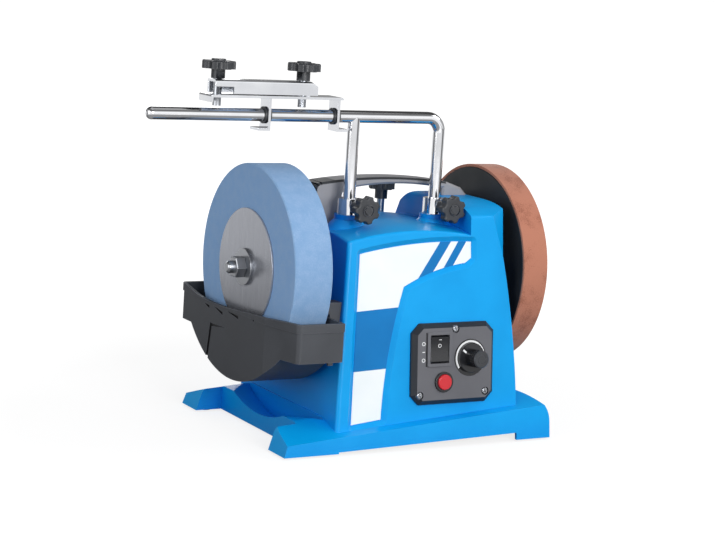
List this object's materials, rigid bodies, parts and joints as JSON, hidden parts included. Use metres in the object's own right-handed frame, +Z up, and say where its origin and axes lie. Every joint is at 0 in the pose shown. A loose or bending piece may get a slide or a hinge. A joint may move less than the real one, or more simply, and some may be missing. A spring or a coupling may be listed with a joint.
{
  "type": "wet sharpening machine",
  "caption": "Bench-top wet sharpening machine with an upright stone in a drop-down water trough, a leather honing wheel, a sliding tool support bar and a tilting blade jig",
  "frame": {"origin": "On the bench plane under the middle of the base", "axes": "+X along the wheel shaft from the stone to the leather wheel, -Y towards the operator, +Z up"},
  "size_m": [0.43, 0.2425, 0.364],
  "materials": {
    "blue_housing": "satin moulded plastic, even bright blue",
    "dark_plastic": "fine-grained dark grey moulded plastic",
    "black_plastic": "black moulded plastic with a soft sheen",
    "white_label": "printed film, white with blue bands",
    "red_button": "red moulded cap",
    "chrome_bar": "ground and plated steel",
    "bright_steel": "bright steel",
    "grey_stone": "fine-grit bonded abrasive, pale blue grey",
    "tan_leather": "tan leather, flesh side out",
    "black_rubber": "black rubber",
    "cast_disc": "turned aluminium",
    "motor_paint": "dark enamel",
    "green_board": "coated circuit board"
  },
  "bodies": {
    "frame": {"housing": "blue_housing", "carry_handle": "dark_plastic", "trough_rail_front": "dark_plastic", "trough_rail_rear": "dark_plastic", "control_panel": "dark_plastic", "cable_gland": "dark_plastic", "switch_frame": "black_plastic", "reset_breaker": "black_plastic", "front_label": "white_label", "sleeve_left": "chrome_bar", "sleeve_right": "chrome_bar", "rear_sleeve_left": "chrome_bar", "rear_sleeve_right": "chrome_bar", "bearing_left": "bright_steel", "bearing_right": "bright_steel", "bearing_cap_left": "bright_steel", "bearing_cap_right": "bright_steel", "cap_screws": "bright_steel", "handle_screws": "bright_steel", "floor_screws": "bright_steel", "panel_screws": "bright_steel", "floor_plate": "bright_steel", "motor_bracket": "bright_steel", "potentiometer": "bright_steel", "rubber_feet": "black_rubber", "motor": "motor_paint", "control_board": "green_board"},
    "wheel_shaft": {"main_shaft": "bright_steel", "grindstone": "grey_stone", "wheel_plate": "bright_steel", "wheel_washer": "bright_steel", "wheel_nut": "bright_steel", "wheel_flange": "bright_steel", "honing_core": "dark_plastic", "honing_leather": "tan_leather", "honing_washer": "bright_steel", "honing_nut": "bright_steel", "drive_disc": "cast_disc", "drive_tyre": "black_rubber"},
    "motor_rotor": {"drive_roller": "bright_steel"},
    "trough": {"water_trough": "dark_plastic"},
    "support": {"support_bar": "chrome_bar"},
    "jig_carrier": {"jig_bushes": "black_plastic"},
    "jig": {"jig_bracket": "bright_steel"},
    "jaw": {"jig_jaw": "bright_steel"},
    "jig_left": {"jig_knob_left": "black_plastic"},
    "jig_right": {"jig_knob_right": "black_plastic"},
    "lock_left": {"lock_knob_left": "black_plastic"},
    "lock_right": {"lock_knob_right": "black_plastic"},
    "rear_left": {"rear_lock_left": "black_plastic"},
    "rear_right": {"rear_lock_right": "black_plastic"},
    "switch_rocker": {"rocker": "black_plastic"},
    "dial": {"speed_dial": "black_plastic"},
    "reset": {"reset_button": "red_button"}
  },
  "joints": [
    {"name": "wheel_spin", "type": "hinge", "parent": "frame", "child": "wheel_shaft", "pos_m": [0, 0, 0.163], "axis": [1, 0, 0], "continuous": true},
    {"name": "motor_spin", "type": "hinge", "parent": "frame", "child": "motor_rotor", "pos_m": [0, 0, 0.1187], "axis": [1, 0, 0], "continuous": true},
    {"name": "trough_drop", "type": "slide", "parent": "frame", "child": "trough", "axis": [0, 0, 1], "range_m": [-0.028, 0]},
    {"name": "support_height", "type": "slide", "parent": "frame", "child": "support", "axis": [0, 0, 1], "range_m": [-0.03, 0.04]},
    {"name": "jig_slide", "type": "slide", "parent": "support", "child": "jig_carrier", "axis": [1, 0, 0], "range_m": [-0.1, 0.004]},
    {"name": "jig_tilt", "type": "hinge", "parent": "jig_carrier", "child": "jig", "pos_m": [0, -0.035, 0.313], "axis": [1, 0, 0], "range_deg": [-60, 60]},
    {"name": "jaw_open", "type": "slide", "parent": "jig", "child": "jaw", "axis": [0, 0, 1], "range_m": [0, 0.006]},
    {"name": "jig_knob_left_turn", "type": "hinge", "parent": "jaw", "child": "jig_left", "pos_m": [-0.201, -0.035, 0.355], "axis": [0, 0, 1], "continuous": true},
    {"name": "jig_knob_right_turn", "type": "hinge", "parent": "jaw", "child": "jig_right", "pos_m": [-0.112, -0.035, 0.355], "axis": [0, 0, 1], "continuous": true},
    {"name": "lock_left_turn", "type": "hinge", "parent": "frame", "child": "lock_left", "pos_m": [-0.054, -0.065, 0.227], "axis": [0, 1, 0], "continuous": true},
    {"name": "lock_right_turn", "type": "hinge", "parent": "frame", "child": "lock_right", "pos_m": [0.043, -0.065, 0.227], "axis": [0, 1, 0], "continuous": true},
    {"name": "rear_left_turn", "type": "hinge", "parent": "frame", "child": "rear_left", "pos_m": [-0.057, 0.062, 0.23], "axis": [0, 0, 1], "continuous": true},
    {"name": "rear_right_turn", "type": "hinge", "parent": "frame", "child": "rear_right", "pos_m": [0.0395, 0.062, 0.23], "axis": [0, 0, 1], "continuous": true},
    {"name": "rocker_tip", "type": "hinge", "parent": "frame", "child": "switch_rocker", "pos_m": [0.0185, -0.0987, 0.09534], "axis": [1, 0, 0], "range_deg": [-10, 10]},
    {"name": "speed_turn", "type": "hinge", "parent": "frame", "child": "dial", "pos_m": [0.054, -0.10362, 0.08628], "axis": [0, -0.9951, 0.0993], "range_deg": [-135, 135]},
    {"name": "reset_press", "type": "slide", "parent": "frame", "child": "reset", "axis": [0, 0.9951, -0.0993], "range_m": [0, 0.002], "stiffness_N_per_m": 500, "springref_m": -0.002}
  ],
  "couplings": [
    {"joint": "motor_spin", "follows": "wheel_spin", "ratio": -6.3333}
  ]
}
